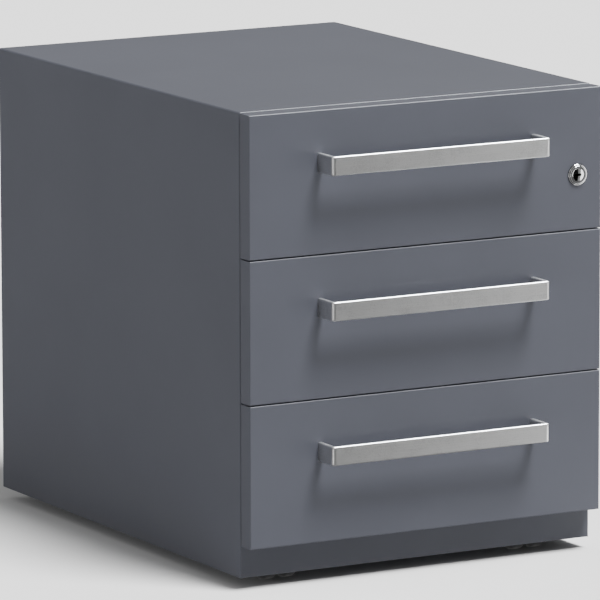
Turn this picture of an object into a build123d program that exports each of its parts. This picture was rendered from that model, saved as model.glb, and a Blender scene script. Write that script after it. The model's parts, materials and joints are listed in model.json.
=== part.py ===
from build123d import *

import math
import os

# Rolling pedestal cabinet: a steel case on four twin-wheel casters, with three drawers on
# telescopic runners, bow handles and a central lock in the top drawer.
# X points right, Y to the back and Z up. The origin is on the floor, in the middle of the
# cabinet's footprint, handles included. Sizes are in millimetres.

os.makedirs("parts", exist_ok=True)

# ---------------------------------------------------------------- driving dimensions
BODY_WIDTH = 420.0
BODY_HEIGHT = 486.0
BODY_DEPTH = 543.5
GROUND_GAP = 12.0  # floor to the lower edge of the case
CASE_SHEET = 1.2
BOX_SHEET = 1.0
CASE_BEND = 2.4  # outside radius of the case's folds
FRONT_BEND = 1.2  # outside radius of the drawer fronts' folds

FRONT_GAP = 1.9  # case to the back of the drawer fronts
FRONT_DEPTH = 19.6
FRONT_HEIGHT = 149.7
FRONT_PITCH = 150.9
TOP_DROP = 0.8  # case top to the top of the upper front
LEVELS = ("bottom", "middle", "top")
SIDES = {"left": -1, "right": 1}

HANDLE_WIDTH = 260.0
HANDLE_HEIGHT = 20.0
HANDLE_STRAP = 5.0
HANDLE_DEPTH = 31.0
HANDLE_CORNER = 3.6
HANDLE_EDGE = 1.6
HANDLE_SCREW_RADIUS = 1.5
HANDLE_RISE = 95.4  # lower edge of a front to the middle of its handle
HANDLE_FEET = (HANDLE_WIDTH - HANDLE_STRAP) / 2  # middle of the handle to each foot
HANDLE_TAP_DEPTH = 10.0
HANDLE_SCREW_LENGTH = 9.0

TRAVEL = 450.0  # drawer travel; the middle runners move half of it
LOCK_X = 181.0
LOCK_RISE = 58.4  # lower edge of the top front to the lock
LOCK_CRANK = 12.0  # lock axis to the cam's pin
BAR_TRAVEL = LOCK_CRANK * math.sqrt(2)  # a quarter turn of the lock, half each side of level

# ---------------------------------------------------------------- planes and levels
TOTAL_DEPTH = BODY_DEPTH + FRONT_GAP + FRONT_DEPTH + HANDLE_DEPTH
BODY_BACK = TOTAL_DEPTH / 2
BODY_FRONT = BODY_BACK - BODY_DEPTH
FRONT_BACK = BODY_FRONT - FRONT_GAP
FRONT_FACE = FRONT_BACK - FRONT_DEPTH
BODY_TOP = GROUND_GAP + BODY_HEIGHT
HALF_WIDTH = BODY_WIDTH / 2
INNER_HALF = HALF_WIDTH - CASE_SHEET
FRONT_BOTTOMS = {
    level: BODY_TOP - TOP_DROP - FRONT_HEIGHT - FRONT_PITCH * (2 - row)
    for row, level in enumerate(LEVELS)
}

# ---------------------------------------------------------------- case
FLANGE = 10.0  # front and bottom flanges of the case
TOP_FLANGE = 14.0
REAR_FLANGE = 14.0
REAR_RECESS = 3.0  # rear edge of the case to its rear flanges
FLANGE_BACK = BODY_BACK - REAR_RECESS
PANEL_BACK = FLANGE_BACK - CASE_SHEET
PANEL_CLEARANCE = 0.3
PAN_TOP = GROUND_GAP + 36.0
PAN_BOTTOM = PAN_TOP - CASE_SHEET
PAN_RIM = 8.0
PAN_REAR = PANEL_BACK - CASE_SHEET - PANEL_CLEARANCE
PLINTH_RETURN = 8.0
UPRIGHT_LENGTH = 30.0
UPRIGHT_FRONT = BODY_FRONT + 15.5
UPRIGHT_BACK = BODY_BACK - 83.0
UPRIGHT_BOTTOM = PAN_TOP + PAN_RIM
UPRIGHT_TOP = BODY_TOP - 22.0
UPRIGHT_SLOT = (12.0, 4.0)
UPRIGHT_SLOT_PITCH = 25.0
RAIL_DEPTH = 20.0
RAIL_HEIGHT = 20.0
BALLAST = (300.0, 26.0, 80.0)
BALLAST_CHAMFER = 2.0
SCREW_RADIUS = 2.0
SCREW_HOLE_RADIUS = 2.2
SCREW_HEAD_RADIUS = 3.8
SCREW_HEAD_HEIGHT = 2.2
SCREW_CROSS = (4.4, 1.0, 1.2)  # recess length, width and depth
BACK_SCREW_LENGTH = 8.0
BACK_SCREW_INSET = 60.0  # top or bottom of the case to the nearest screw
BUFFER_RADIUS = 4.0
BUFFER_RISES = (FRONT_HEIGHT * 0.2, FRONT_HEIGHT * 0.8)

# ---------------------------------------------------------------- drawers and runners
BOX_HALF = 183.0
BOX_RISE = 12.0  # lower edge of a front to the bottom of its box
BOX_HEIGHT = 105.0
BOX_BACK = BODY_BACK - 43.0
BOX_FRONT = FRONT_BACK - BOX_SHEET
BOX_RIM = 8.0
BOX_BEND = 2.0
BOX_SEAM = 0.05  # hairline between the walls where they are spot-welded
BOX_CORNER = 3.0  # how far each side wall turns round its corners
FRONT_RETURN = 10.0
LINER_CLEARANCE = 0.2
ACCESS_RADIUS = 6.0
RUNNER_RISE = 24.0  # lower edge of a front to the middle of its runners
RUNNER_FRONT = BODY_FRONT + 13.5
RUNNER_LENGTH = TRAVEL + 30.0
INNER_FRONT = RUNNER_FRONT + 2.0
INNER_LENGTH = RUNNER_LENGTH - 10.0
# half height, web start, web thickness, lip end: measured outwards from the box wall
OUTER_CHANNEL = (15.0, 11.3, 1.2, 3.0)
MIDDLE_CHANNEL = (12.5, 9.3, 1.0, 2.0)
INNER_CHANNEL = (9.5, 0.0, 1.2, 8.0)
UPRIGHT_FACE = BOX_HALF + OUTER_CHANNEL[1] + OUTER_CHANNEL[2]

# ---------------------------------------------------------------- lock
LOCK_Z = FRONT_BOTTOMS["top"] + LOCK_RISE
BEZEL_RADIUS = 11.5
BEZEL_STEP = 1.7
BEZEL_ROUND = 1.3
COLLAR_RADIUS = 9.6
COLLAR_PROUD = 2.8
COLLAR_ROUND = 0.7
DISH_RADIUS = 8.2
DISH_DEPTH = 0.9
BARREL_RADIUS = 9.0
PLUG_RADIUS = 7.0
PLUG_CHAMFER = 0.4
PLUG_DOME = 50.0  # radius of its slightly domed face
FIT_CLEARANCE = 0.05
NUT_RADIUS = 12.0
NUT_THICKNESS = 2.6
BARREL_END = BOX_FRONT + NUT_THICKNESS + 0.3  # the barrel ends just past its nut
CAM_FRONT = BARREL_END + 0.4
CAM_THICKNESS = 2.0
CAM_HUB_RADIUS = 7.5
CAM_SHANK_RADIUS = 4.0
CAM_PIN_RADIUS = 2.0
CAM_ARM_HALF = 3.0
CAM_PIN_SHORT = 1.0  # back of the locking bar to the end of the pin
KEYWAY = (8.0, 2.6, 14.0)  # length, height and depth
BAR_FRONT = BODY_FRONT + 5.5
BAR_BACK = BAR_FRONT + 2.0
BAR_STRIP = (197.0, 207.0)
BAR_BOTTOM = 85.0
BAR_TOP = 470.0
BAR_TAB = (185.0, BAR_TRAVEL - 3.0)  # inner edge and height of each tab
BAR_SLOT_HEIGHT = 6.0
BAR_SLOT_SPARE = 1.0  # room left beside the pin at each end of its swing
BAR_SLOT_FRAME = (2.0, 4.0)  # metal beside and above the slot
CATCH_RISE = 97.0  # lower edge of a front to the middle of its catch
CATCH_HALF = 4.0
CATCH_REACH = 9.0
CATCH_LENGTH = 10.0
CATCH_ROUND = 1.0
TAB_GAP = 2.0
GUIDE_LEVELS = (92.0, 210.0, 340.0)
GUIDE_HEIGHT = 14.0
GUIDE_CLEARANCE = 0.4
GUIDE_WALL = 1.5
LOCK_NOTCH = 18.0

# ---------------------------------------------------------------- casters
CASTER_X = 150.0
CASTER_SETBACK = 51.0  # front or rear face of the case to the swivel axis
CASTER_TRAIL = 15.0
WHEEL_RADIUS = 18.0
WHEEL_WIDTH = 13.5
WHEEL_SPACING = 23.5  # between the middles of the twin wheels
WHEEL_BORE = 3.0
WHEEL_CAP = 1.0  # closed end of the bore
AXLE_SHORT = 1.5  # outer face of a wheel to the end of the axle
HUB_RADIUS = 6.0
DISH_INSET = 2.0
TREAD_ROUND = 3.0
RIM_WIDTH = 1.5  # rounded tread to the dished face
WEB_HALF = 4.5
HOOD_HALF = 19.5
HOOD_INNER = 19.6
HOOD_OUTER = 21.6
HOOD_SKIRT = 9.0  # floor to the hood's lower edge
HOOD_EDGE = 1.5
BOSS_RADIUS = 10.0
PLATE_SIZE = 50.0
PLATE_THICKNESS = 2.0
PLATE_CORNER = 5.0
PLATE_BOTTOM = PAN_BOTTOM - PLATE_THICKNESS
PLATE_PITCH = 38.0
BOSS_TOP = PLATE_BOTTOM - 0.5
KINGPIN_RADIUS = 4.0
KINGPIN_LENGTH = 9.0
CASTERS = {
    "front_left": (-CASTER_X, BODY_FRONT + CASTER_SETBACK),
    "front_right": (CASTER_X, BODY_FRONT + CASTER_SETBACK),
    "rear_left": (-CASTER_X, BODY_BACK - CASTER_SETBACK),
    "rear_right": (CASTER_X, BODY_BACK - CASTER_SETBACK),
}


# ---------------------------------------------------------------- helpers
def save(piece, name):
    """Labels a finished piece and writes its STEP file."""
    piece.label = name
    export_step(piece, f"parts/{name}.step")


def block(x, y, z, mode=Mode.ADD):
    """Rectangular block between the two values of x, y and z, in the part being built."""
    with Locations(((x[0] + x[1]) / 2, (y[0] + y[1]) / 2, (z[0] + z[1]) / 2)):
        Box(abs(x[1] - x[0]), abs(y[1] - y[0]), abs(z[1] - z[0]), mode=mode)


def rods(plane, radius, length, points=((0, 0),), mode=Mode.ADD):
    """Round rods that rise from a plane at the points, in the part being built."""
    with BuildSketch(plane, mode=Mode.PRIVATE) as section:
        with Locations(*points):
            Circle(radius)
    extrude(section.sketch, amount=length, mode=mode)


def cross_screws(plane, shank, points, radius=SCREW_RADIUS):
    """Cross-head screws whose heads stand on the plane and whose shanks go down through it."""
    rods(plane, radius, -shank, points)
    rods(plane, SCREW_HEAD_RADIUS, SCREW_HEAD_HEIGHT, points)
    with BuildSketch(plane.offset(SCREW_HEAD_HEIGHT), mode=Mode.PRIVATE) as crosses:
        with Locations(*points):
            Rectangle(SCREW_CROSS[0], SCREW_CROSS[1])
            Rectangle(SCREW_CROSS[1], SCREW_CROSS[0])
    extrude(crosses.sketch, amount=-SCREW_CROSS[2], mode=Mode.SUBTRACT)


def facing_front(y):
    """Plane at y whose normal points to the front, drawn on in X and Z."""
    return Plane.XZ.offset(-y)


def facing_back(y):
    """Plane at y whose normal points to the back, drawn on in -X and Z."""
    return Plane(origin=(0, y, 0), x_dir=(-1, 0, 0), z_dir=(0, 1, 0))


# ---------------------------------------------------------------- case
back_screw_points = [
    (side * (INNER_HALF - REAR_FLANGE / 2), z)
    for side in SIDES.values()
    for z in (
        GROUND_GAP + BACK_SCREW_INSET,
        GROUND_GAP + BODY_HEIGHT / 2,
        BODY_TOP - BACK_SCREW_INSET,
    )
]
caster_screw_points = [
    (x + dx * PLATE_PITCH / 2, y + dy * PLATE_PITCH / 2)
    for x, y in CASTERS.values()
    for dx in (-1, 1)
    for dy in (-1, 1)
]

with BuildPart() as carcass_shell:
    with BuildSketch(facing_front(BODY_BACK)):
        with Locations((0, GROUND_GAP + BODY_HEIGHT / 2)):
            Rectangle(BODY_WIDTH, BODY_HEIGHT)
    extrude(amount=BODY_DEPTH)
    fillet(carcass_shell.edges().filter_by(Axis.Y).group_by(Axis.Z)[-1], CASE_BEND)
    front_outline = carcass_shell.edges().group_by(Axis.Y)[0]
    fillet(front_outline.sort_by(Axis.Z)[1:], CASE_SHEET)
    block(
        (-INNER_HALF, INNER_HALF),
        (BODY_FRONT + CASE_SHEET, BODY_BACK),
        (GROUND_GAP, BODY_TOP - CASE_SHEET),
        mode=Mode.SUBTRACT,
    )
    block(
        (-INNER_HALF + FLANGE, INNER_HALF - FLANGE),
        (BODY_FRONT, BODY_FRONT + CASE_SHEET),
        (GROUND_GAP, BODY_TOP - TOP_FLANGE),
        mode=Mode.SUBTRACT,
    )
    block(
        (-INNER_HALF, INNER_HALF),
        (BODY_FRONT, BODY_FRONT + CASE_SHEET),
        (GROUND_GAP, PAN_BOTTOM),
        mode=Mode.SUBTRACT,
    )
    for side in SIDES.values():
        block(
            (side * INNER_HALF, side * (INNER_HALF - REAR_FLANGE)),
            (PANEL_BACK, FLANGE_BACK),
            (GROUND_GAP, BODY_TOP - CASE_SHEET),
        )
        block(
            (side * INNER_HALF, side * (INNER_HALF - FLANGE)),
            (BODY_FRONT + PLINTH_RETURN + 1, PANEL_BACK),
            (GROUND_GAP, GROUND_GAP + CASE_SHEET),
        )
    block(
        (-INNER_HALF, INNER_HALF),
        (PANEL_BACK, FLANGE_BACK),
        (BODY_TOP - TOP_FLANGE, BODY_TOP - CASE_SHEET),
    )
    rods(facing_front(PANEL_BACK), SCREW_HOLE_RADIUS, -CASE_SHEET, back_screw_points, Mode.SUBTRACT)
save(carcass_shell.part, "carcass_shell")

with BuildPart() as back_panel:
    block(
        (-INNER_HALF + PANEL_CLEARANCE, INNER_HALF - PANEL_CLEARANCE),
        (PANEL_BACK - CASE_SHEET, PANEL_BACK),
        (GROUND_GAP + CASE_SHEET + PANEL_CLEARANCE, BODY_TOP - CASE_SHEET - PANEL_CLEARANCE),
    )
    rods(facing_front(PANEL_BACK), SCREW_HOLE_RADIUS, CASE_SHEET, back_screw_points, Mode.SUBTRACT)
save(back_panel.part, "back_panel")

with BuildPart() as back_screws:
    cross_screws(facing_back(FLANGE_BACK), BACK_SCREW_LENGTH, back_screw_points)
save(back_screws.part, "back_screws")

with BuildPart() as base_pan:
    block(
        (-INNER_HALF, INNER_HALF),
        (BODY_FRONT + CASE_SHEET, PAN_REAR),
        (PAN_BOTTOM, PAN_TOP),
    )
    block(
        (-INNER_HALF, INNER_HALF),
        (PAN_REAR - CASE_SHEET, PAN_REAR),
        (PAN_TOP, PAN_TOP + PAN_RIM),
    )
    for side in SIDES.values():
        block(
            (side * INNER_HALF, side * (INNER_HALF - CASE_SHEET)),
            (BODY_FRONT + CASE_SHEET, PAN_REAR),
            (PAN_TOP, PAN_TOP + PAN_RIM),
        )
    rods(
        Plane.XY.offset(PAN_BOTTOM),
        SCREW_HOLE_RADIUS,
        CASE_SHEET,
        caster_screw_points,
        Mode.SUBTRACT,
    )
save(base_pan.part, "base_pan")

with BuildPart() as plinth_panel:
    block(
        (-INNER_HALF, INNER_HALF),
        (BODY_FRONT, BODY_FRONT + PLINTH_RETURN),
        (GROUND_GAP, PAN_BOTTOM),
    )
    lower_edge = plinth_panel.edges().filter_by(Axis.X).group_by(Axis.Y)[0].sort_by(Axis.Z)[0]
    fillet(lower_edge, CASE_SHEET)
    block(
        (-INNER_HALF, INNER_HALF),
        (BODY_FRONT + CASE_SHEET, BODY_FRONT + PLINTH_RETURN),
        (GROUND_GAP + CASE_SHEET, PAN_BOTTOM - CASE_SHEET),
        mode=Mode.SUBTRACT,
    )
save(plinth_panel.part, "plinth_panel")

with BuildPart() as front_top_rail:
    rail_half = INNER_HALF - FLANGE
    rail_front = BODY_FRONT + CASE_SHEET
    rail_top = BODY_TOP - CASE_SHEET
    block(
        (-rail_half, rail_half),
        (rail_front, rail_front + RAIL_DEPTH),
        (rail_top - RAIL_HEIGHT, rail_top),
    )
    block(
        (-rail_half, rail_half),
        (rail_front + CASE_SHEET, rail_front + RAIL_DEPTH),
        (rail_top - RAIL_HEIGHT + CASE_SHEET, rail_top - CASE_SHEET),
        mode=Mode.SUBTRACT,
    )
save(front_top_rail.part, "front_top_rail")

with BuildPart() as runner_uprights:
    for side in SIDES.values():
        for front in (UPRIGHT_FRONT, UPRIGHT_BACK):
            block(
                (side * UPRIGHT_FACE, side * INNER_HALF),
                (front, front + UPRIGHT_LENGTH),
                (UPRIGHT_BOTTOM, UPRIGHT_TOP),
            )
            block(
                (side * (UPRIGHT_FACE + CASE_SHEET), side * INNER_HALF),
                (front + CASE_SHEET, front + UPRIGHT_LENGTH - CASE_SHEET),
                (UPRIGHT_BOTTOM, UPRIGHT_TOP),
                mode=Mode.SUBTRACT,
            )
    slot_rows = int((UPRIGHT_TOP - UPRIGHT_BOTTOM) / UPRIGHT_SLOT_PITCH)
    slots_middle = (UPRIGHT_BOTTOM + UPRIGHT_TOP) / 2
    for front in (UPRIGHT_FRONT, UPRIGHT_BACK):
        with BuildSketch(Plane.YZ.offset(-INNER_HALF)):
            with Locations((front + UPRIGHT_LENGTH / 2, slots_middle)):
                with GridLocations(1, UPRIGHT_SLOT_PITCH, 1, slot_rows):
                    SlotOverall(*UPRIGHT_SLOT)
        extrude(amount=2 * INNER_HALF, mode=Mode.SUBTRACT)
save(runner_uprights.part, "runner_uprights")

with BuildPart() as ballast_weight:
    block(
        (-BALLAST[0] / 2, BALLAST[0] / 2),
        (PAN_REAR - CASE_SHEET - BALLAST[1], PAN_REAR - CASE_SHEET),
        (PAN_TOP, PAN_TOP + BALLAST[2]),
    )
    chamfer(ballast_weight.edges().filter_by(Axis.Z), BALLAST_CHAMFER)
save(ballast_weight.part, "ballast_weight")

with BuildPart() as front_buffers:
    buffer_points = [
        (side * (INNER_HALF - FLANGE / 2), bottom + rise)
        for side in SIDES.values()
        for bottom in FRONT_BOTTOMS.values()
        for rise in BUFFER_RISES
    ]
    rods(facing_front(BODY_FRONT), BUFFER_RADIUS, FRONT_GAP, buffer_points)
save(front_buffers.part, "front_buffers")


# ---------------------------------------------------------------- runners
def channel_pair(profile, middle, front, length):
    """Left and right runner channels of one level; profile sizes count from the box wall."""
    half_height, web, sheet, lip = profile
    with BuildPart() as pair:
        for side in SIDES.values():
            near = BOX_HALF + min(web, lip)
            far = BOX_HALF + max(web + sheet, lip)
            block(
                (side * near, side * far),
                (front, front + length),
                (middle - half_height, middle + half_height),
            )
            hollow_near = near + sheet if web < lip else near
            hollow_far = far if web < lip else far - sheet
            block(
                (side * hollow_near, side * hollow_far),
                (front, front + length),
                (middle - half_height + sheet, middle + half_height - sheet),
                mode=Mode.SUBTRACT,
            )
    return pair.part


for level, bottom in FRONT_BOTTOMS.items():
    middle = bottom + RUNNER_RISE
    outer = channel_pair(OUTER_CHANNEL, middle, RUNNER_FRONT, RUNNER_LENGTH)
    save(outer, f"outer_runners_{level}")
    sliding = channel_pair(MIDDLE_CHANNEL, middle, INNER_FRONT, INNER_LENGTH)
    save(sliding, f"middle_runners_{level}")
    inner = channel_pair(INNER_CHANNEL, middle, INNER_FRONT, INNER_LENGTH)
    save(inner, f"inner_runners_{level}")


# ---------------------------------------------------------------- drawers
def foot_points(bottom):
    """Middles of the two handle feet on the front whose lower edge is given."""
    return [(side * HANDLE_FEET, bottom + HANDLE_RISE) for side in SIDES.values()]


def front_skin(bottom, lock_radius=None):
    """Folded outer pan of a drawer front, open at the back inside its returns."""
    middle = bottom + FRONT_HEIGHT / 2
    with BuildPart() as skin:
        with BuildSketch(facing_front(FRONT_BACK)):
            with Locations((0, middle)):
                Rectangle(BODY_WIDTH, FRONT_HEIGHT)
        extrude(amount=FRONT_DEPTH)
        fillet(skin.faces().sort_by(Axis.Y)[0].edges(), FRONT_BEND)
        inner_top = bottom + FRONT_HEIGHT - BOX_SHEET
        block(
            (-HALF_WIDTH + BOX_SHEET, HALF_WIDTH - BOX_SHEET),
            (FRONT_FACE + BOX_SHEET, FRONT_BACK - BOX_SHEET),
            (bottom + BOX_SHEET, inner_top),
            mode=Mode.SUBTRACT,
        )
        block(
            (-HALF_WIDTH + FRONT_RETURN, HALF_WIDTH - FRONT_RETURN),
            (FRONT_BACK - BOX_SHEET, FRONT_BACK),
            (bottom + FRONT_RETURN, bottom + FRONT_HEIGHT - FRONT_RETURN),
            mode=Mode.SUBTRACT,
        )
        face_back = facing_front(FRONT_FACE + BOX_SHEET)
        rods(face_back, SCREW_HOLE_RADIUS, BOX_SHEET, foot_points(bottom), Mode.SUBTRACT)
        if lock_radius:
            rods(face_back, lock_radius, BOX_SHEET, [(LOCK_X, LOCK_Z)], Mode.SUBTRACT)
    return skin.part


def front_liner(bottom, lock_radius=None):
    """Flat inner plate that closes the drawer front from inside, against the returns."""
    liner_back = FRONT_BACK - BOX_SHEET
    inset = BOX_SHEET + LINER_CLEARANCE
    with BuildPart() as liner:
        block(
            (-HALF_WIDTH + inset, HALF_WIDTH - inset),
            (liner_back - BOX_SHEET, liner_back),
            (bottom + inset, bottom + FRONT_HEIGHT - inset),
        )
        back = facing_front(liner_back)
        rods(back, ACCESS_RADIUS, BOX_SHEET, foot_points(bottom), Mode.SUBTRACT)
        if lock_radius:
            rods(back, lock_radius, BOX_SHEET, [(LOCK_X, LOCK_Z)], Mode.SUBTRACT)
    return liner.part


def drawer_box(bottom, notched=False):
    """Open-topped tray of a floor pan and four walls with doubled rims.

    The notch in its front right corner leaves room for the lock.
    """
    floor = bottom + BOX_RISE
    rim = floor + BOX_HEIGHT
    with BuildPart() as tray:
        block((-BOX_HALF, BOX_HALF), (BOX_FRONT, BOX_BACK), (floor, rim))
        fillet(tray.edges().filter_by(Axis.Z) + tray.faces().sort_by(Axis.Z)[0].edges(), BOX_BEND)
        block(
            (-BOX_HALF + BOX_SHEET, BOX_HALF - BOX_SHEET),
            (BOX_FRONT + BOX_SHEET, BOX_BACK - BOX_SHEET),
            (floor + BOX_SHEET, rim - BOX_RIM),
            mode=Mode.SUBTRACT,
        )
        block(
            (-BOX_HALF + 2 * BOX_SHEET, BOX_HALF - 2 * BOX_SHEET),
            (BOX_FRONT + 2 * BOX_SHEET, BOX_BACK - 2 * BOX_SHEET),
            (rim - BOX_RIM, rim),
            mode=Mode.SUBTRACT,
        )
        block(
            (-BOX_HALF, BOX_HALF),
            (BOX_FRONT, BOX_BACK),
            (floor + BOX_BEND, floor + BOX_BEND + BOX_SEAM),
            mode=Mode.SUBTRACT,
        )
        for side in SIDES.values():
            seam = BOX_HALF - BOX_CORNER
            block(
                (side * (seam - BOX_SEAM), side * seam),
                (BOX_FRONT, BOX_BACK),
                (floor + BOX_BEND, rim),
                mode=Mode.SUBTRACT,
            )
        wall_back = facing_front(FRONT_BACK)
        rods(wall_back, ACCESS_RADIUS, BOX_SHEET, foot_points(bottom), Mode.SUBTRACT)
        if notched:
            block(
                (LOCK_X - NUT_RADIUS - 2, BOX_HALF),
                (BOX_FRONT, RUNNER_FRONT),
                (LOCK_Z - LOCK_NOTCH, LOCK_Z + LOCK_NOTCH),
                mode=Mode.SUBTRACT,
            )
    return tray.part


def bow_handle(bottom):
    """Square bow bent from flat bar, with its two feet on the drawer front."""
    middle = bottom + HANDLE_RISE
    half = HANDLE_WIDTH / 2
    crossbar_front = FRONT_FACE - HANDLE_DEPTH
    with BuildPart() as bow:
        with BuildSketch(Plane.XY.offset(middle - HANDLE_HEIGHT / 2)):
            with Locations((0, (FRONT_FACE + crossbar_front) / 2)):
                Rectangle(HANDLE_WIDTH, HANDLE_DEPTH)
            with Locations((0, (FRONT_FACE + crossbar_front + HANDLE_STRAP) / 2)):
                Rectangle(
                    2 * (half - HANDLE_STRAP), HANDLE_DEPTH - HANDLE_STRAP, mode=Mode.SUBTRACT
                )
        extrude(amount=HANDLE_HEIGHT)
        fillet(bow.edges().filter_by(Axis.Z).group_by(Axis.Y)[0], HANDLE_CORNER)
        crossbar_back = crossbar_front + HANDLE_STRAP
        inner_corners = bow.edges().filter_by(Axis.Z).filter_by_position(
            Axis.Y, crossbar_back - FIT_CLEARANCE, crossbar_back + FIT_CLEARANCE
        )
        fillet(inner_corners, HANDLE_CORNER / 2)
        rim = bow.faces().filter_by(Axis.Z).edges().filter_by_position(
            Axis.Y, crossbar_front - FIT_CLEARANCE, FRONT_FACE - FIT_CLEARANCE
        )
        fillet(rim, HANDLE_EDGE)
        feet = facing_front(FRONT_FACE)
        tap = (HANDLE_SCREW_RADIUS, HANDLE_TAP_DEPTH)
        rods(feet, *tap, foot_points(bottom), Mode.SUBTRACT)
    return bow.part


def handle_screws(bottom):
    """The two screws that hold a bow handle from inside the drawer front."""
    with BuildPart() as screws:
        cross_screws(
            facing_back(FRONT_FACE + BOX_SHEET),
            HANDLE_SCREW_LENGTH,
            foot_points(bottom),
            HANDLE_SCREW_RADIUS,
        )
    return screws.part


def lock_catch(bottom):
    """Small block on the right wall of a drawer box that the locking bar holds back."""
    middle = bottom + CATCH_RISE
    with BuildPart() as catch:
        block(
            (BOX_HALF, BOX_HALF + CATCH_REACH),
            (BAR_BACK + TAB_GAP, BAR_BACK + TAB_GAP + CATCH_LENGTH),
            (middle - CATCH_HALF, middle + CATCH_HALF),
        )
        fillet(catch.edges().filter_by(Axis.Z).group_by(Axis.X)[-1], CATCH_ROUND)
    return catch.part


for level, bottom in FRONT_BOTTOMS.items():
    locked = level == "top"
    lock_hole = BARREL_RADIUS if locked else None
    save(front_skin(bottom, lock_hole), f"front_skin_{level}")
    save(front_liner(bottom, lock_hole), f"front_liner_{level}")
    save(drawer_box(bottom, locked), f"drawer_box_{level}")
    save(bow_handle(bottom), f"handle_{level}")
    save(handle_screws(bottom), f"handle_screws_{level}")
    save(lock_catch(bottom), f"lock_catch_{level}")


# ---------------------------------------------------------------- lock
lock_centre = [(LOCK_X, LOCK_Z)]
collar_front = FRONT_FACE - COLLAR_PROUD

with BuildPart() as lock_housing:
    rods(facing_front(FRONT_FACE), BEZEL_RADIUS, BEZEL_STEP, lock_centre)
    fillet(lock_housing.faces().sort_by(Axis.Y)[0].edges(), BEZEL_ROUND)
    rods(facing_front(FRONT_FACE), COLLAR_RADIUS, COLLAR_PROUD, lock_centre)
    fillet(lock_housing.faces().sort_by(Axis.Y)[0].edges(), COLLAR_ROUND)
    rods(facing_front(FRONT_FACE), BARREL_RADIUS, FRONT_FACE - BARREL_END, lock_centre)
    rods(
        facing_front(collar_front),
        DISH_RADIUS,
        -DISH_DEPTH,
        lock_centre,
        Mode.SUBTRACT,
    )
    rods(
        facing_front(BARREL_END),
        PLUG_RADIUS + FIT_CLEARANCE,
        BARREL_END - collar_front,
        lock_centre,
        Mode.SUBTRACT,
    )
save(lock_housing.part, "lock_housing")

with BuildPart() as lock_plug:
    plug_front = collar_front + DISH_DEPTH / 2
    rods(facing_front(BARREL_END), PLUG_RADIUS, BARREL_END - plug_front, lock_centre)
    with Locations((LOCK_X, plug_front + PLUG_DOME, LOCK_Z)):
        Sphere(PLUG_DOME, mode=Mode.INTERSECT)
    chamfer(lock_plug.faces().sort_by(Axis.Y)[0].edges(), PLUG_CHAMFER)
    cam_back = CAM_FRONT + CAM_THICKNESS
    rods(facing_front(cam_back), CAM_SHANK_RADIUS, cam_back - BARREL_END, lock_centre)
    with BuildSketch(facing_front(plug_front)):
        with Locations((LOCK_X, LOCK_Z)):
            Rectangle(KEYWAY[0], KEYWAY[1])
    extrude(amount=-KEYWAY[2], mode=Mode.SUBTRACT)
save(lock_plug.part, "lock_plug")

with BuildPart() as lock_nut:
    with BuildSketch(facing_front(BOX_FRONT + NUT_THICKNESS)):
        with Locations((LOCK_X, LOCK_Z)):
            RegularPolygon(NUT_RADIUS, 6)
            Circle(BARREL_RADIUS, mode=Mode.SUBTRACT)
    extrude(amount=NUT_THICKNESS)
save(lock_nut.part, "lock_nut")

with BuildPart() as lock_cam:
    pin_x = LOCK_X + LOCK_CRANK * math.cos(math.pi / 4)
    pin_z = LOCK_Z + LOCK_CRANK * math.sin(math.pi / 4)
    with BuildSketch(facing_front(CAM_FRONT + CAM_THICKNESS)):
        with Locations((LOCK_X, LOCK_Z)):
            Circle(CAM_HUB_RADIUS)
        with Locations((pin_x, pin_z)):
            Circle(CAM_ARM_HALF)
        with Locations(Location(((LOCK_X + pin_x) / 2, (LOCK_Z + pin_z) / 2), 45)):
            Rectangle(LOCK_CRANK, 2 * CAM_ARM_HALF)
        with Locations((LOCK_X, LOCK_Z)):
            Circle(CAM_SHANK_RADIUS, mode=Mode.SUBTRACT)
    extrude(amount=CAM_THICKNESS)
    rods(
        facing_front(CAM_FRONT + CAM_THICKNESS),
        CAM_PIN_RADIUS,
        CAM_FRONT + CAM_THICKNESS - BAR_BACK - CAM_PIN_SHORT,
        [(pin_x, pin_z)],
    )
save(lock_cam.part, "lock_cam")

with BuildPart() as locking_bar:
    block(BAR_STRIP, (BAR_FRONT, BAR_BACK), (BAR_BOTTOM, BAR_TOP))
    for bottom in FRONT_BOTTOMS.values():
        tab_bottom = bottom + CATCH_RISE + CATCH_HALF + TAB_GAP
        block(
            (BAR_TAB[0], BAR_STRIP[1]), (BAR_FRONT, BAR_BACK), (tab_bottom, tab_bottom + BAR_TAB[1])
        )
    slot_near = pin_x - CAM_PIN_RADIUS - BAR_SLOT_SPARE
    slot_far = LOCK_X + LOCK_CRANK + CAM_PIN_RADIUS + BAR_SLOT_SPARE
    slot_half = BAR_SLOT_HEIGHT / 2
    frame_half = slot_half + BAR_SLOT_FRAME[1]
    block(
        (slot_near - BAR_SLOT_FRAME[0], BAR_STRIP[1]),
        (BAR_FRONT, BAR_BACK),
        (pin_z - frame_half, pin_z + frame_half),
    )
    block(
        (slot_near, slot_far),
        (BAR_FRONT, BAR_BACK),
        (pin_z - slot_half, pin_z + slot_half),
        mode=Mode.SUBTRACT,
    )
save(locking_bar.part, "locking_bar")

with BuildPart() as bar_guides:
    for level_z in GUIDE_LEVELS:
        guide = (level_z, level_z + GUIDE_HEIGHT)
        block((UPRIGHT_FACE, INNER_HALF), (BAR_FRONT - GUIDE_WALL, UPRIGHT_FRONT), guide)
        block(
            (BAR_STRIP[0] - GUIDE_CLEARANCE, BAR_STRIP[1] + GUIDE_CLEARANCE),
            (BAR_FRONT - GUIDE_CLEARANCE, BAR_BACK + GUIDE_CLEARANCE),
            guide,
            mode=Mode.SUBTRACT,
        )
save(bar_guides.part, "bar_guides")

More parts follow.
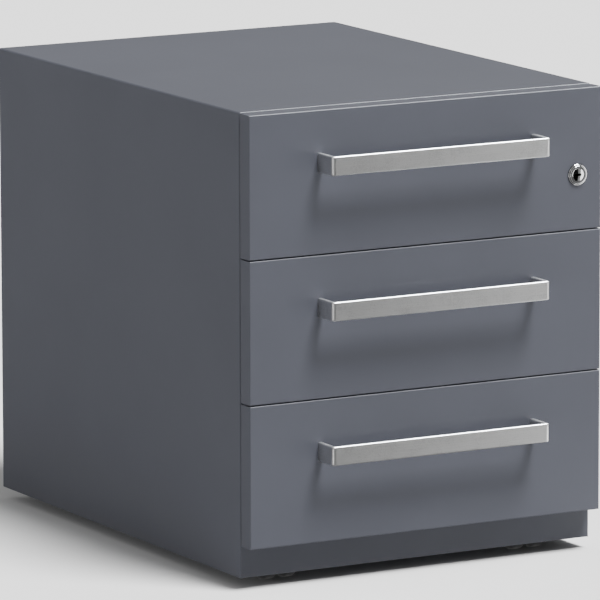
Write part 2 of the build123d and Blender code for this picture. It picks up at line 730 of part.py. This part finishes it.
# ---------------------------------------------------------------- casters
with BuildPart() as caster_plates:
    for x, y in CASTERS.values():
        with BuildSketch(Plane.XY.offset(PLATE_BOTTOM)):
            with Locations((x, y)):
                RectangleRounded(PLATE_SIZE, PLATE_SIZE, PLATE_CORNER)
        extrude(amount=PLATE_THICKNESS)
    rods(
        Plane.XY.offset(PLATE_BOTTOM),
        SCREW_HOLE_RADIUS,
        PLATE_THICKNESS,
        caster_screw_points,
        Mode.SUBTRACT,
    )
    rods(
        Plane.XY.offset(PLATE_BOTTOM - KINGPIN_LENGTH),
        KINGPIN_RADIUS,
        KINGPIN_LENGTH,
        list(CASTERS.values()),
    )
save(caster_plates.part, "caster_plates")

with BuildPart() as caster_screws:
    screw_plane = Plane(origin=(0, 0, PLATE_BOTTOM), x_dir=(1, 0, 0), z_dir=(0, 0, -1))
    mirrored_points = [(x, -y) for x, y in caster_screw_points]
    cross_screws(screw_plane, PLATE_THICKNESS + CASE_SHEET, mirrored_points)
save(caster_screws.part, "caster_screws")


def caster_hood(x, y):
    """Swivelling body of a caster: a web between the wheels, a fender over them and a boss."""
    axle_y = y - CASTER_TRAIL
    with BuildPart() as hood:
        fender = Plane.YZ.offset(x - HOOD_HALF)
        with BuildSketch(fender):
            with Locations((axle_y, WHEEL_RADIUS)):
                Circle(HOOD_OUTER)
            with Locations((axle_y, HOOD_SKIRT - HOOD_OUTER)):
                Rectangle(4 * HOOD_OUTER, 2 * HOOD_OUTER, mode=Mode.SUBTRACT)
        extrude(amount=2 * HOOD_HALF)
        fillet(hood.edges().filter_by(GeomType.CIRCLE), HOOD_EDGE)
        rods(Plane.XY.offset(WHEEL_RADIUS), BOSS_RADIUS, BOSS_TOP - WHEEL_RADIUS, [(x, y)])
        for wheel_side in (-1, 1):
            well = Plane.YZ.offset(x + wheel_side * WEB_HALF)
            rods(
                well,
                HOOD_INNER,
                wheel_side * HOOD_HALF,
                [(axle_y, WHEEL_RADIUS)],
                Mode.SUBTRACT,
            )
        rods(
            Plane.XY.offset(BOSS_TOP),
            KINGPIN_RADIUS + FIT_CLEARANCE,
            -KINGPIN_LENGTH,
            [(x, y)],
            Mode.SUBTRACT,
        )
        rods(
            Plane.YZ.offset(x - WEB_HALF),
            WHEEL_BORE - FIT_CLEARANCE,
            2 * WEB_HALF,
            [(axle_y, WHEEL_RADIUS)],
            Mode.SUBTRACT,
        )
    return hood.part


def caster_axle(x, y):
    """Plain pin that both wheels of a caster turn on."""
    half = (WHEEL_SPACING + WHEEL_WIDTH) / 2 - AXLE_SHORT
    with BuildPart() as pin:
        rods(
            Plane.YZ.offset(x - half),
            WHEEL_BORE - FIT_CLEARANCE,
            2 * half,
            [(y - CASTER_TRAIL, WHEEL_RADIUS)],
        )
    return pin.part


def caster_wheel(x, y, side):
    """Wheel with a rounded tread, a dished outer face and a hub ring round its bore."""
    axle_y = y - CASTER_TRAIL
    inner_x = x + side * (WHEEL_SPACING - WHEEL_WIDTH) / 2
    face = Plane.YZ.offset(inner_x)
    with BuildPart() as wheel:
        rods(face, WHEEL_RADIUS, side * WHEEL_WIDTH, [(axle_y, WHEEL_RADIUS)])
        fillet(wheel.edges().filter_by(GeomType.CIRCLE), TREAD_ROUND)
        outer = Plane.YZ.offset(inner_x + side * WHEEL_WIDTH)
        with BuildSketch(outer, mode=Mode.PRIVATE) as dish:
            with Locations((axle_y, WHEEL_RADIUS)):
                Circle(WHEEL_RADIUS - TREAD_ROUND - RIM_WIDTH)
                Circle(HUB_RADIUS, mode=Mode.SUBTRACT)
        extrude(dish.sketch, amount=-side * DISH_INSET, mode=Mode.SUBTRACT)
        rods(
            face,
            WHEEL_BORE,
            side * (WHEEL_WIDTH - WHEEL_CAP),
            [(axle_y, WHEEL_RADIUS)],
            Mode.SUBTRACT,
        )
    return wheel.part


for corner, (x, y) in CASTERS.items():
    save(caster_hood(x, y), f"caster_hood_{corner}")
    save(caster_axle(x, y), f"caster_axle_{corner}")
    for side_name, side in SIDES.items():
        save(caster_wheel(x, y, side), f"wheel_{corner}_{side_name}")
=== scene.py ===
import json
import math

import bpy
from mathutils import Matrix, Vector


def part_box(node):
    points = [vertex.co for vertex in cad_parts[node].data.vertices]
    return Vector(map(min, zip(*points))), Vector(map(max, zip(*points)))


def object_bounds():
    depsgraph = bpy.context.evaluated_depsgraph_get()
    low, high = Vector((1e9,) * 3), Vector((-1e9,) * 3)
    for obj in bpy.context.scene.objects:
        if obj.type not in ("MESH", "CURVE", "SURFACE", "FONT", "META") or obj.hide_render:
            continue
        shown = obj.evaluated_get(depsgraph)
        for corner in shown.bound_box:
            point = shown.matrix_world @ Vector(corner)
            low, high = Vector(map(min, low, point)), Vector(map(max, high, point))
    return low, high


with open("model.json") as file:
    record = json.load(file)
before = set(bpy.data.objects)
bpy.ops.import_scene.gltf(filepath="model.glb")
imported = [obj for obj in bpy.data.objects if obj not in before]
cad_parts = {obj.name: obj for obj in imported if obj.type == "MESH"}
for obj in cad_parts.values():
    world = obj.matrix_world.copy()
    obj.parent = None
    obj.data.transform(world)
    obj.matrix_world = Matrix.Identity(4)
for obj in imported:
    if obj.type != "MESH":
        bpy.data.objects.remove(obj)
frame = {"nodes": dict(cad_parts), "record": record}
nodes = frame["nodes"]
CAD_LOW, CAD_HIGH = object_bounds()

# ---------------------------------------------------------------- settings
# Camera
AZIMUTH = 29.11  # degrees, the camera stands to the left of the cabinet's front
ELEVATION = 10.09
DISTANCE = 7.4966  # metres from the aim point
LENS = 420.3  # millimetres
SENSOR_WIDTH = 36.0
ROLL = -0.12  # degrees
AIM_SIDE = -0.00224  # metres from the middle of the CAD box
AIM_UP = -0.00158
VIEW_END = 100.0

# Stage, in metres
FLOOR_REACH = 30.0
FLOOR_DROP = 0.0002  # keeps the floor just under the wheels
PATCH_DROP = 0.0001
PATCH_LOW, PATCH_HIGH = (0.23, -0.5), (1.0, 2.0)  # floor to the right of the cabinet
FLOOR_COLOUR = (0.86, 0.86, 0.86)
FLAG_BLACK = (0.004, 0.004, 0.004)

# Finishes
PAINT_GREY = (0.0563, 0.0592, 0.0738)
PAINT_SHINE = 0.35  # specular level of coats of paint
# near-black colour of the painted shade inside the lock's keyway
KEYWAY_SHADE_BLACK = (0.012, 0.011, 0.010)
DARK_FROM, DARK_TO = 0.0012, 0.0022  # metres behind the lock's front, where the painted shade of its inside starts and where it is full

# Sockets of a Mix node that mixes colours
MIX_FIRST, MIX_SECOND, MIX_RESULT = 6, 7, 2


# ---------------------------------------------------------------- materials
class Shader:
    """A new procedural material and short ways to add nodes to it."""

    def __init__(self, name, **sockets):
        self.material = bpy.data.materials.new(name)
        self.material.use_nodes = True
        self.tree = self.material.node_tree
        self.surface = self.tree.nodes["Principled BSDF"]
        self.coords = self.add("ShaderNodeTexCoord").outputs["Object"]
        for socket, value in sockets.items():
            self.surface.inputs[socket.replace("_", " ")].default_value = value

    def feed(self, socket, value):
        """Links a node's output to a socket, or sets the socket to a fixed value."""
        if isinstance(value, bpy.types.NodeSocket):
            self.tree.links.new(value, socket)
        else:
            socket.default_value = value

    def add(self, kind, inputs=None, **settings):
        node = self.tree.nodes.new(kind)
        for name, value in settings.items():
            setattr(node, name, value)
        for name, value in (inputs or {}).items():
            self.feed(node.inputs[name], value)
        return node

    def set(self, socket, output):
        self.tree.links.new(output, self.surface.inputs[socket])

    def noise(self, scale, detail=2.0, roughness=0.5, stretch=None):
        """Noise between 0 and 1; stretch gives the scale along X, Y and Z."""
        vector = self.coords
        if stretch:
            mapping = self.add("ShaderNodeMapping", {"Vector": vector, "Scale": stretch})
            vector = mapping.outputs["Vector"]
        return self.add(
            "ShaderNodeTexNoise",
            {"Vector": vector, "Scale": scale, "Detail": detail, "Roughness": roughness},
        ).outputs["Fac"]

    def math(self, operation, first, second=None):
        inputs = {0: first} if second is None else {0: first, 1: second}
        return self.add("ShaderNodeMath", inputs, operation=operation).outputs[0]

    def ramp(self, factor, low, high, start=0.3, end=0.7):
        """Colour from low to high as the factor goes from start to end."""
        ramp = self.add("ShaderNodeValToRGB", {"Fac": factor})
        first, last = ramp.color_ramp.elements
        first.position, first.color = start, (*low, 1)
        last.position, last.color = end, (*high, 1)
        return ramp.outputs["Color"]

    def spread(self, factor, low, high, start=0.3, end=0.7):
        """Number from low to high as the factor goes from start to end."""
        return self.add(
            "ShaderNodeMapRange",
            {"Value": factor, "From Min": start, "From Max": end, "To Min": low, "To Max": high},
        ).outputs["Result"]

    def mix(self, factor, first, second, blend="MIX"):
        """Colour mixed from two colours."""
        node = self.add("ShaderNodeMix", {"Factor": factor}, data_type="RGBA", blend_type=blend)
        self.feed(node.inputs[MIX_FIRST], first)
        self.feed(node.inputs[MIX_SECOND], second)
        return node.outputs[MIX_RESULT]

    def bump(self, height, depth, strength=1.0, under=None):
        """Normal of a relief that is depth metres deep, on top of the one under it."""
        inputs = {"Height": height, "Distance": depth, "Strength": strength}
        if under is not None:
            inputs["Normal"] = under
        return self.add("ShaderNodeBump", inputs).outputs["Normal"]


def shade(colour, factor):
    return tuple(channel * factor for channel in colour)


def powder_coat(name, colour):
    """Semi-gloss powder coat with a fine orange peel and a barely uneven tone."""
    shader = Shader(name, Specular_IOR_Level=PAINT_SHINE)
    tone = shader.noise(scale=9.0, detail=3.0, roughness=0.6)
    shader.set("Base Color", shader.ramp(tone, shade(colour, 0.965), shade(colour, 1.035)))
    fine = shader.noise(scale=1400.0, roughness=0.6)
    shader.set("Roughness", shader.spread(fine, 0.36, 0.45))
    peel = shader.bump(shader.noise(scale=260.0, detail=1.0), depth=0.00006, strength=0.55)
    shader.set("Normal", shader.bump(fine, depth=0.00002, strength=0.5, under=peel))
    return shader.material


def brushed_metal(name, colour):
    """Satin metal with fine brushing along the strap, round its bends as well."""
    shader = Shader(name, Metallic=1.0, Anisotropic=0.35)
    along_x = shader.noise(scale=1.0, detail=4.0, roughness=0.65, stretch=(14.0, 2600.0, 2600.0))
    along_y = shader.noise(scale=1.0, detail=4.0, roughness=0.65, stretch=(2600.0, 14.0, 2600.0))
    normal = shader.add("ShaderNodeNewGeometry").outputs["True Normal"]
    sideways = shader.add("ShaderNodeSeparateXYZ", {"Vector": normal}).outputs["X"]
    side_face = shader.math("ABSOLUTE", sideways)
    turned = shader.add("ShaderNodeMix", {"Factor": side_face, "A": along_x, "B": along_y})
    grain = turned.outputs["Result"]
    speckle = shader.noise(scale=850.0, detail=1.0)
    cloud = shader.noise(scale=38.0, detail=3.0, roughness=0.6)
    streaks = shader.ramp(grain, shade(colour, 0.90), shade(colour, 1.04))
    mottle = shader.math("ADD", cloud, speckle)
    blotches = shader.ramp(mottle, (0.87, 0.87, 0.87), (1.0, 1.0, 1.0), start=0.7, end=1.3)
    shader.set("Base Color", shader.mix(1.0, streaks, blotches, blend="MULTIPLY"))
    shader.set("Roughness", shader.spread(speckle, 0.29, 0.38))
    lines = shader.bump(grain, depth=0.00002, strength=0.3)
    shader.set("Normal", shader.bump(speckle, depth=0.00002, strength=0.12, under=lines))
    return shader.material


def polished_chrome(name, colour):
    """Bright chrome with faint handling marks; deep in the lock it is painted near-black, as
    painted shade of the keyway.
    """
    shader = Shader(name, Metallic=1.0)
    marks = shader.noise(scale=1.0, detail=3.0, roughness=0.6, stretch=(900.0, 900.0, 120.0))
    depth = shader.add("ShaderNodeSeparateXYZ", {"Vector": shader.coords}).outputs["Y"]
    lock_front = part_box("lock_housing")[0][1]
    painted_shade_mask = shader.spread(depth, 0.0, 1.0, start=lock_front + DARK_FROM, end=lock_front + DARK_TO)
    plating = shader.ramp(shader.noise(scale=160.0), shade(colour, 0.97), colour)
    # painted shade: the chrome turns near-black deeper than 1.2 mm behind the lock's front,
    # standing in for the shade in the keyway
    shader.set("Base Color", shader.mix(painted_shade_mask, plating, (*KEYWAY_SHADE_BLACK, 1)))
    shader.set("Roughness", shader.spread(marks, 0.04, 0.10))
    shader.set("Normal", shader.bump(marks, depth=0.00001, strength=0.2))
    return shader.material


def zinc_plate(name, colour):
    """Bright zinc plating: a cool sheen with soft mottling and fine rolling lines."""
    shader = Shader(name, Metallic=1.0)
    cloud = shader.noise(scale=42.0, detail=4.0, roughness=0.6)
    lines = shader.noise(scale=1.0, detail=3.0, roughness=0.6, stretch=(1500.0, 18.0, 1500.0))
    shader.set("Base Color", shader.ramp(cloud, shade(colour, 0.82), shade(colour, 1.08)))
    shader.set("Roughness", shader.spread(cloud, 0.27, 0.42))
    shader.set("Normal", shader.bump(lines, depth=0.00002, strength=0.3))
    return shader.material


def cast_iron(name, colour):
    """Sand-cast block under thin black paint."""
    shader = Shader(name, Specular_IOR_Level=PAINT_SHINE)
    grit = shader.noise(scale=420.0, detail=5.0, roughness=0.7)
    tone = shader.noise(scale=60.0, detail=4.0)
    shader.set("Base Color", shader.ramp(tone, shade(colour, 0.8), shade(colour, 1.3)))
    shader.set("Roughness", shader.spread(grit, 0.6, 0.85))
    shader.set("Normal", shader.bump(grit, depth=0.0004, strength=0.6))
    return shader.material


def moulded_plastic(name, colour, rough, grain):
    """Moulded plastic with a fine spark-eroded grain."""
    shader = Shader(name, Specular_IOR_Level=0.45)
    texture = shader.noise(scale=grain)
    tone = shader.noise(scale=35.0)
    shader.set("Base Color", shader.ramp(tone, shade(colour, 0.85), shade(colour, 1.2)))
    shader.set("Roughness", shader.spread(texture, rough - 0.06, rough + 0.1))
    shader.set("Normal", shader.bump(texture, depth=0.00005, strength=0.45))
    return shader.material


def make_finishes():
    """One material for each material slot of the record."""
    return {
        "case_paint": powder_coat("case_powder_coat", PAINT_GREY),
        "front_paint": powder_coat("front_powder_coat", PAINT_GREY),
        # the plinth has the case's powder coat painted about 10% darker, as painted shade under
        # the overhang of the fronts
        "plinth_paint": powder_coat("plinth_powder_coat_painted_shade", (0.0505, 0.0532, 0.0662)),
        "brushed_handle": brushed_metal("brushed_handle_metal", (0.80, 0.80, 0.795)),
        "chrome": polished_chrome("lock_chrome", (0.82, 0.82, 0.83)),
        "zinc_steel": zinc_plate("zinc_plated_steel", (0.55, 0.56, 0.57)),
        "cast_iron": cast_iron("painted_cast_iron", (0.035, 0.035, 0.037)),
        "black_plastic": moulded_plastic(
            "black_hood_plastic", (0.016, 0.016, 0.018), rough=0.5, grain=700.0
        ),
        "wheel_plastic": moulded_plastic(
            "black_wheel_plastic", (0.020, 0.020, 0.022), rough=0.4, grain=500.0
        ),
        "soft_rubber": moulded_plastic(
            "black_buffer_rubber", (0.03, 0.03, 0.03), rough=0.75, grain=900.0
        ),
    }


def finish_cad_nodes():
    """Gives each CAD node the finish of its slot in the record."""
    finishes = make_finishes()
    slots = {row["node"]: row["material_slot"] for row in frame["record"]["subparts"]}
    for name, node in nodes.items():
        node.data.materials.clear()
        node.data.materials.append(finishes[slots[name]])


# ---------------------------------------------------------------- camera, light and stage
def add_object(name, data):
    """A light or camera, linked to the scene."""
    thing = bpy.data.objects.new(name, data)
    bpy.context.scene.collection.objects.link(thing)
    return thing


def facing(direction):
    """Turn that points a light's or camera's front along the direction."""
    return direction.to_track_quat("-Z", "Y")


def make_camera():
    """Long-lens camera at the photograph's viewing angle."""
    azimuth, elevation = math.radians(AZIMUTH), math.radians(ELEVATION)
    view = Vector(
        (
            math.sin(azimuth) * math.cos(elevation),
            math.cos(azimuth) * math.cos(elevation),
            -math.sin(elevation),
        )
    )
    side = Vector((math.cos(azimuth), -math.sin(azimuth), 0))
    up = side.cross(view)
    middle = (Vector(CAD_LOW) + Vector(CAD_HIGH)) / 2
    aim = middle + side * AIM_SIDE + up * AIM_UP
    data = bpy.data.cameras.new("photo_camera")
    data.lens = LENS
    data.sensor_width = SENSOR_WIDTH
    data.clip_end = VIEW_END
    camera = add_object("photo_camera", data)
    place = Matrix.Translation(aim - view * DISTANCE)
    roll = Matrix.Rotation(math.radians(ROLL), 4, "Z")
    camera.matrix_world = place @ facing(view).to_matrix().to_4x4() @ roll
    bpy.context.scene.camera = camera


def make_key_light(direction, strength, spread):
    """Distant soft light; the spread is the angle that its disc fills, in degrees."""
    data = bpy.data.lights.new("key_light", "SUN")
    data.energy = strength
    data.angle = math.radians(spread)
    light = add_object("key_light", data)
    light.rotation_euler = facing(-Vector(direction)).to_euler()


def make_panel_light(name, size, power):
    """Flat rectangular light."""
    data = bpy.data.lights.new(name, "AREA")
    data.shape = "RECTANGLE"
    data.size, data.size_y = size
    data.energy = power
    return add_object(name, data)


def aim_at_cabinet(thing, direction, distance):
    """Stands a light or a card off from the cabinet, facing the middle of it."""
    away = Vector(direction).normalized()
    thing.location = Vector((0, 0, CAD_HIGH[2] / 2)) + away * distance
    thing.rotation_euler = facing(-away).to_euler()


def show_only_in_reflections(thing):
    thing.visible_camera = False
    thing.visible_diffuse = False
    thing.visible_transmission = False


def make_gloss_card(name, direction, distance, size, radiance, colour=(1.0, 1.0, 1.0)):
    """Even soft card that shows only in reflections and adds nothing to the diffuse light."""
    light = make_panel_light(name, size, power=radiance * math.pi * size[0] * size[1])
    light.data.color = colour
    aim_at_cabinet(light, direction, distance)
    show_only_in_reflections(light)


def make_low_fill(position, target, size, power):
    """Low soft light that opens the shadow side and stays out of reflections."""
    light = make_panel_light("low_fill", size, power)
    light.location = position
    light.rotation_euler = facing(Vector(target) - Vector(position)).to_euler()
    light.visible_camera = False
    light.visible_glossy = False


def make_plane(name, low, high, colour):
    """Matte stage plane between two corners, with a faint unevenness."""
    bpy.ops.mesh.primitive_plane_add(size=1.0)
    plane = bpy.context.object
    plane.name = name
    plane.scale = (high[0] - low[0], high[1] - low[1], 1.0)
    plane.location = ((low[0] + high[0]) / 2, (low[1] + high[1]) / 2, 0)
    shader = Shader(name + "_paint", Specular_IOR_Level=0.1)
    tone = shader.noise(scale=3.0)
    shader.set("Base Color", shader.ramp(tone, shade(colour, 0.99), shade(colour, 1.01)))
    shader.set("Roughness", shader.spread(shader.noise(scale=120.0), 0.85, 0.95))
    plane.data.materials.append(shader.material)
    return plane


def make_flag(name, direction, distance, size):
    """Black card that shows only in reflections, for the polished metal to mirror."""
    half = (size[0] / 2, size[1] / 2)
    flag = make_plane(name, (-half[0], -half[1]), half, FLAG_BLACK)
    aim_at_cabinet(flag, direction, distance)
    show_only_in_reflections(flag)
    flag.visible_shadow = False


def make_floor():
    """Wide pale floor; only the part to the right of the cabinet shows in reflections."""
    corner = (FLOOR_REACH, FLOOR_REACH)
    floor = make_plane("studio_floor", (-corner[0], -corner[1]), corner, FLOOR_COLOUR)
    floor.location.z = -FLOOR_DROP
    floor.visible_glossy = False
    patch = make_plane("reflected_floor", PATCH_LOW, PATCH_HIGH, FLOOR_COLOUR)
    patch.location.z = -PATCH_DROP
    show_only_in_reflections(patch)
    patch.visible_shadow = False


def make_world(strength):
    """Even white light from all around."""
    world = bpy.data.worlds.new("studio_air")
    world.use_nodes = True
    background = world.node_tree.nodes["Background"]
    background.inputs["Color"].default_value = (1.0, 1.0, 1.0, 1)
    background.inputs["Strength"].default_value = strength
    bpy.context.scene.world = world


def make_studio():
    """Soft light, and the cards and flags that the handles and the lock mirror."""
    make_world(strength=0.30)
    make_floor()
    make_key_light(direction=(0.45, -1.0, 2.13), strength=7.8, spread=20.0)
    make_low_fill(
        position=(-2.85, 1.91, 0.45), target=(-0.21, 0.2, 0.1), size=(2.6, 0.85), power=29.0
    )
    make_gloss_card(
        "overhead_card",
        direction=(0.48, -0.175, 0.86),
        distance=3.0,
        size=(1.6, 0.9),
        radiance=75.0,
        colour=(0.90, 0.95, 1.0),
    )
    make_gloss_card(
        "front_card", direction=(0.79, -0.613, -0.10), distance=3.0, size=(1.5, 2.2), radiance=2.8
    )
    make_gloss_card(
        "left_card", direction=(-0.86, -0.48, -0.12), distance=3.0, size=(0.5, 1.6), radiance=4.0
    )
    make_flag("front_flag", direction=(0.30, -0.95, -0.14), distance=3.2, size=(1.6, 2.0))
    make_flag("right_flag", direction=(0.98, -0.17, -0.15), distance=3.1, size=(1.8, 1.6))


finish_cad_nodes()
make_camera()
make_studio()
